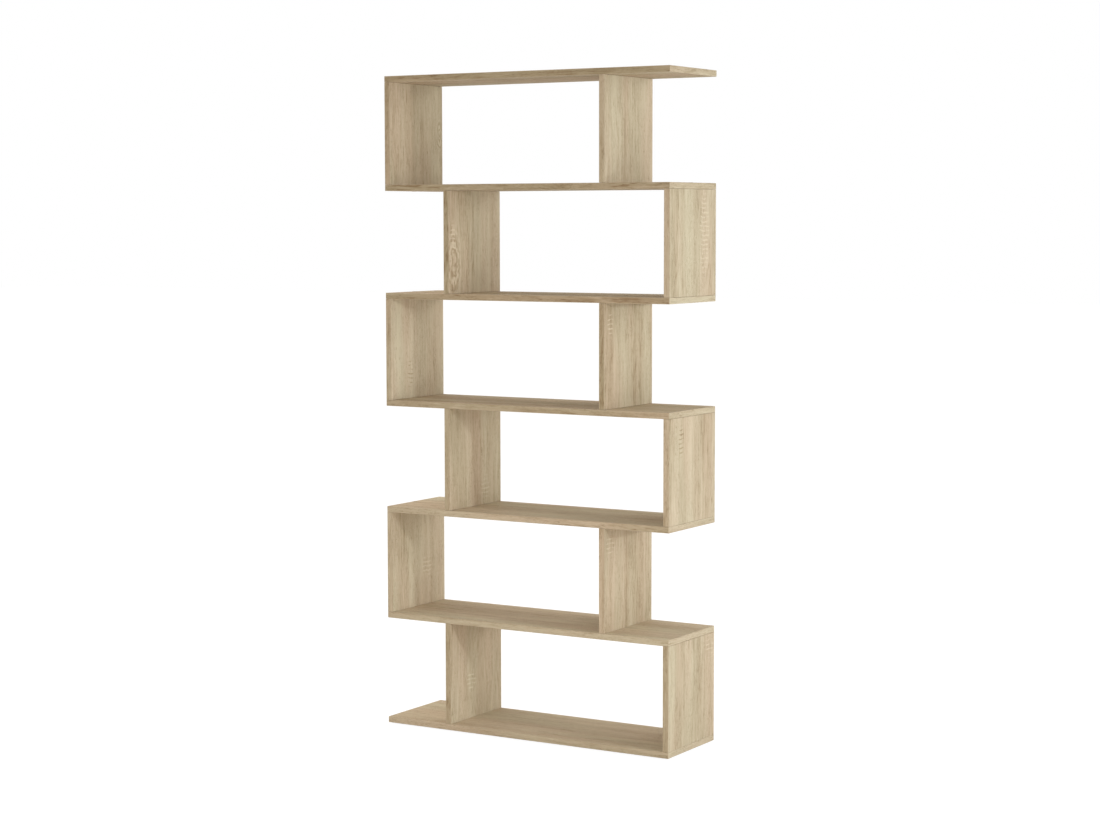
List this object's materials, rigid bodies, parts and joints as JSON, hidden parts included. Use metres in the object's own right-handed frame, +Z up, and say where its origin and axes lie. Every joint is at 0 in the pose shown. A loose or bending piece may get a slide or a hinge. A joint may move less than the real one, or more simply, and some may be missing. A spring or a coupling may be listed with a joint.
{
  "type": "bookcase",
  "caption": "Open zig-zag bookcase: full-width shelves on short uprights that swap sides tier by tier, with glides under it and wall brackets on top.",
  "frame": {"origin": "on the floor, under the middle of the bookcase's width and depth: the bottom centre of its box", "axes": "+Z up, +X to the right seen from the front, and the front faces -Y, so +Y points to the wall behind"},
  "size_m": [0.85, 0.25, 1.7396],
  "materials": {
    "oak_board": "matt melamine decor, pale oak grain with fine pores",
    "screw_steel": "bright zinc plated",
    "glide_plastic": "off-white, smooth",
    "bracket_steel": "zinc plated sheet"
  },
  "bodies": {
    "root": {"shelf_1_top": "oak_board", "shelf_2": "oak_board", "shelf_3": "oak_board", "shelf_4": "oak_board", "shelf_5": "oak_board", "shelf_6": "oak_board", "shelf_7_bottom": "oak_board", "upright_1_left": "oak_board", "upright_1_right": "oak_board", "upright_2_left": "oak_board", "upright_2_right": "oak_board", "upright_3_left": "oak_board", "upright_3_right": "oak_board", "upright_4_left": "oak_board", "upright_4_right": "oak_board", "upright_5_left": "oak_board", "upright_5_right": "oak_board", "upright_6_left": "oak_board", "upright_6_right": "oak_board", "screw_1_left_upper": "screw_steel", "screw_1_left_lower": "screw_steel", "screw_1_right_upper": "screw_steel", "screw_1_right_lower": "screw_steel", "screw_2_left_upper": "screw_steel", "screw_2_left_lower": "screw_steel", "screw_2_right_upper": "screw_steel", "screw_2_right_lower": "screw_steel", "screw_3_left_upper": "screw_steel", "screw_3_left_lower": "screw_steel", "screw_3_right_upper": "screw_steel", "screw_3_right_lower": "screw_steel", "screw_4_left_upper": "screw_steel", "screw_4_left_lower": "screw_steel", "screw_4_right_upper": "screw_steel", "screw_4_right_lower": "screw_steel", "screw_5_left_upper": "screw_steel", "screw_5_left_lower": "screw_steel", "screw_5_right_upper": "screw_steel", "screw_5_right_lower": "screw_steel", "screw_6_left_upper": "screw_steel", "screw_6_left_lower": "screw_steel", "screw_6_right_upper": "screw_steel", "screw_6_right_lower": "screw_steel", "glide_front_left": "glide_plastic", "glide_front_middle": "glide_plastic", "glide_front_right": "glide_plastic", "glide_back_left": "glide_plastic", "glide_back_middle": "glide_plastic", "glide_back_right": "glide_plastic", "wall_bracket_left": "bracket_steel", "wall_bracket_right": "bracket_steel", "bracket_screw_left_front": "screw_steel", "bracket_screw_left_back": "screw_steel", "bracket_screw_right_front": "screw_steel", "bracket_screw_right_back": "screw_steel"}
  },
  "joints": []
}
